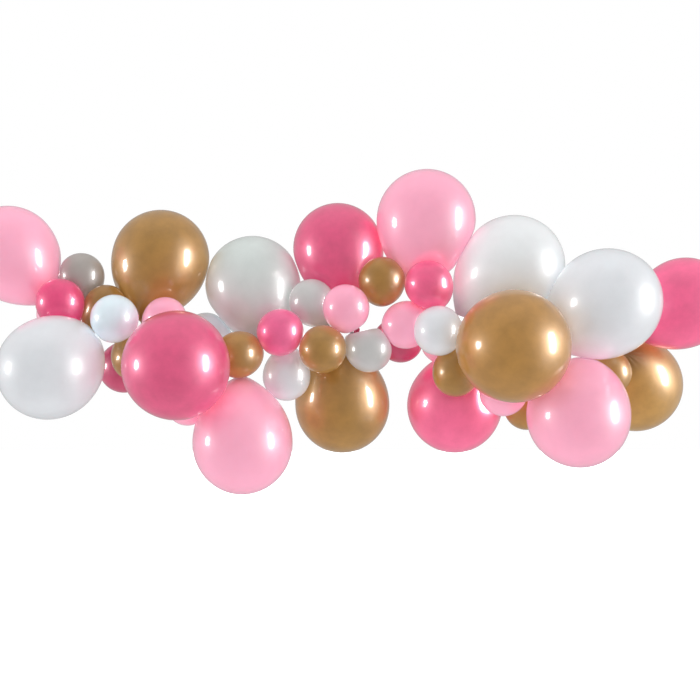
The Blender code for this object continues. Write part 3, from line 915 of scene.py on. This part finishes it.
def latex(name, colour, tone_and_shade):
    """Blown-up latex: a soft sheen under a glossy skin, thicker and deeper in colour towards the neck."""
    base, metallic, rough, under, coat_rough, mottling = LATEX[colour]
    material, tree, shader = new_material(name)
    place = tree.nodes.new("ShaderNodeTexCoord")
    cloud = noise(tree, place, **CLOUD)
    grain = noise(tree, place, **GRAIN)
    deep = np.array(base) ** NECK_DEPTH * NECK_SHADE
    # The balloon's factors hold its own tone, and for a few small balloons painted shade
    light = np.minimum(np.array(base) * tone_and_shade * (1 + mottling), 1.0)
    dark = np.array(base) * tone_and_shade * (1 - mottling)
    blotch = map_range(tree, cloud, From_Min=BLOTCH_RANGE[0], From_Max=BLOTCH_RANGE[1])
    mottled = mix_colours(tree, blotch, (*dark, 1.0), (*light, 1.0))
    thick = tree.nodes.new("ShaderNodeAttribute")
    thick.attribute_name = "thickness"
    skin = mix_colours(tree, thick.outputs["Fac"], mottled, (*deep, 1.0))
    tree.links.new(skin, shader.inputs["Base Color"])
    uneven = map_range(tree, cloud, To_Min=rough - ROUGH_CHANGE, To_Max=rough + ROUGH_CHANGE)
    tree.links.new(uneven, shader.inputs["Roughness"])
    bump = node(tree, "ShaderNodeBump", Strength=GRAIN_STRENGTH, Distance=GRAIN_HEIGHT)
    tree.links.new(grain, bump.inputs["Height"])
    tree.links.new(bump.outputs["Normal"], shader.inputs["Normal"])
    set_sockets(shader, Metallic=metallic)
    set_sockets(shader, Subsurface_Weight=under, Subsurface_Radius=GLOW_COLOUR, Subsurface_Scale=GLOW_DEPTH)
    set_sockets(shader, Coat_Weight=1.0, Coat_Roughness=coat_rough, Coat_IOR=COAT_IOR)
    return material


def clear_plastic(name, colour, rough, scale):
    """Clear film or adhesive with a faint haze."""
    material, tree, shader = new_material(name)
    place = tree.nodes.new("ShaderNodeTexCoord")
    haze = noise(tree, place, Scale=scale, Detail=HAZE_DETAIL)
    uneven = map_range(tree, haze, To_Min=rough, To_Max=rough + HAZE_CHANGE)
    tree.links.new(uneven, shader.inputs["Roughness"])
    set_sockets(shader, Base_Color=(*colour, 1.0), Transmission_Weight=CLEARNESS, IOR=PLASTIC_IOR)
    return material


# Stage


def outward(angle, lift):
    """Unit vector away from the garland. Angle 0 is at the camera's side, and 90 at its right."""
    turn, rise = math.radians(angle), math.radians(lift)
    return np.array((math.sin(turn) * math.cos(rise), -math.cos(turn) * math.cos(rise), math.sin(rise)))


def add_light(name, kind, direction, distance):
    """A light turned towards the garland, unseen by the camera."""
    across = unit(np.cross((0.0, 0.0, 1.0) if abs(direction[2]) < STEEP else (0.0, 1.0, 0.0), direction))
    up = np.cross(direction, across)
    data = bpy.data.lights.new(name, kind)
    item = bpy.data.objects.new(name, data)
    place = np.array(MIDDLE) + distance * direction
    columns = zip(across, up, direction)
    rows = [(*row, shift) for row, shift in zip(columns, place)]
    item.matrix_world = Matrix(rows + [(0, 0, 0, 1)])
    item.visible_camera = False
    data.use_shadow = False
    bpy.context.scene.collection.objects.link(item)
    return item


def window(name, angle, lift, distance, width, height, radiance):
    """A soft rectangular window that is only seen mirrored."""
    item = add_light(name, "AREA", outward(angle, lift), distance)
    data = item.data
    data.shape = "RECTANGLE"
    data.size = 2 * distance * math.tan(math.radians(width / 2))
    data.size_y = 2 * distance * math.tan(math.radians(height / 2))
    data.energy = radiance * math.pi * data.size * data.size_y
    data.cycles.use_multiple_importance_sampling = False
    item.visible_diffuse = False


def fill(name, angle, lift, strength):
    """A broad light from one side that only shades."""
    item = add_light(name, "SUN", outward(angle, lift), FILL_DISTANCE)
    item.data.energy = math.pi * strength
    item.data.angle = math.radians(FILL_SPREAD)
    item.visible_glossy = False


def math_node(tree, operation, *values):
    """A maths node fed by numbers or by other nodes' outputs."""
    made = tree.nodes.new("ShaderNodeMath")
    made.operation = operation
    for socket, value in zip(made.inputs, values):
        plug(tree, value, socket)
    return made.outputs[0]


def room(tree, split, side, front, back, top, bottom):
    """A background whose brightness changes softly from side to front, back, top and bottom."""
    total = side
    for axis, sign, level in (("Y", -1.0, front), ("Y", 1.0, back), ("Z", 1.0, top), ("Z", -1.0, bottom)):
        towards = math_node(tree, "MULTIPLY", split.outputs[axis], sign)
        share = math_node(tree, "POWER", math_node(tree, "MAXIMUM", towards, 0.0), ROOM_POWER)
        change = math_node(tree, "MULTIPLY", share, level - side)
        total = math_node(tree, "ADD", change, total)
    background = node(tree, "ShaderNodeBackground", Color=ROOM_COLOUR)
    tree.links.new(total, background.inputs["Strength"])
    return background.outputs[0]


def build_world():
    """Pure white to the camera, and to everything else a soft pale room, dimmest at the camera's side."""
    world = bpy.data.worlds.new("studio")
    bpy.context.scene.world = world
    world.use_nodes = True
    tree = world.node_tree
    tree.nodes.clear()
    place = tree.nodes.new("ShaderNodeTexCoord")
    split = tree.nodes.new("ShaderNodeSeparateXYZ")
    tree.links.new(place.outputs["Generated"], split.inputs["Vector"])
    path = tree.nodes.new("ShaderNodeLightPath")
    shade = room(tree, split, **ROOM_SHADE)
    gloss = room(tree, split, **ROOM_GLOSS)
    plain = node(tree, "ShaderNodeBackground", Color=WHITE, Strength=1.0).outputs[0]
    for flag, other in (("Is Glossy Ray", gloss), ("Is Camera Ray", plain)):
        mix = tree.nodes.new("ShaderNodeMixShader")
        tree.links.new(path.outputs[flag], mix.inputs[0])
        tree.links.new(shade, mix.inputs[1])
        tree.links.new(other, mix.inputs[2])
        shade = mix.outputs[0]
    output = tree.nodes.new("ShaderNodeOutputWorld")
    tree.links.new(shade, output.inputs["Surface"])


def build_floor():
    """A white floor, left out of the garland's light and reflections."""
    mesh = bpy.data.meshes.new("floor")
    signs = ((-1, -1), (1, -1), (1, 1), (-1, 1))
    corners = [(x * FLOOR_HALF, y * FLOOR_HALF, FLOOR_HEIGHT) for x, y in signs]
    mesh.from_pydata(corners, [], [(0, 1, 2, 3)])
    floor = bpy.data.objects.new("floor", mesh)
    bpy.context.scene.collection.objects.link(floor)
    material, _, shader = new_material("pale_floor")
    set_sockets(shader, Base_Color=(FLOOR_SHADE, FLOOR_SHADE, FLOOR_SHADE, 1.0), Roughness=FLOOR_ROUGHNESS)
    set_sockets(shader, Emission_Color=WHITE, Emission_Strength=1.0)
    mesh.materials.append(material)
    floor.visible_diffuse = False
    floor.visible_glossy = False
    floor.visible_shadow = False


def build_camera():
    """The photo's view: level, from straight in front of the middle."""
    data = bpy.data.cameras.new("camera")
    data.sensor_width = SENSOR_WIDTH
    data.lens = SENSOR_WIDTH * FOCAL_PIXELS / PICTURE_PIXELS
    camera = bpy.data.objects.new("camera", data)
    camera.location = (MIDDLE[0], -CAMERA_DISTANCE, MIDDLE[2])
    camera.rotation_euler = (math.radians(90), 0.0, 0.0)
    bpy.context.scene.collection.objects.link(camera)
    bpy.context.scene.camera = camera


def main():
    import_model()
    balloons, dots = settle()
    for balloon in balloons:
        piece = build_balloon(balloon)
        # The factors carry each balloon's own tone, and painted shade on a few small ones
        piece.data.materials.append(latex(balloon.name + "_latex", balloon.colour, tone_and_painted_shade_of(balloon)))
        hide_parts(balloon.name)
        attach(piece, "root")
    for number, (middle, normal) in enumerate(dots, 1):
        piece = build_glue_dot(number, middle, normal)
        piece.data.materials.append(clear_plastic(f"glue_{number}", *GLUE_LOOK))
        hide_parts(f"glue_dot_{number}")
        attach(piece, "root")
    piece = build_strip()
    piece.data.materials.append(clear_plastic("clear_film", *FILM_LOOK))
    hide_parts("garland_strip")
    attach(piece, "root")
    build_world()
    build_floor()
    build_camera()
    for row in WINDOWS:
        window(*row)
    for row in FILLS:
        fill(*row)
    bpy.context.scene.view_settings.view_transform = "Standard"


main()
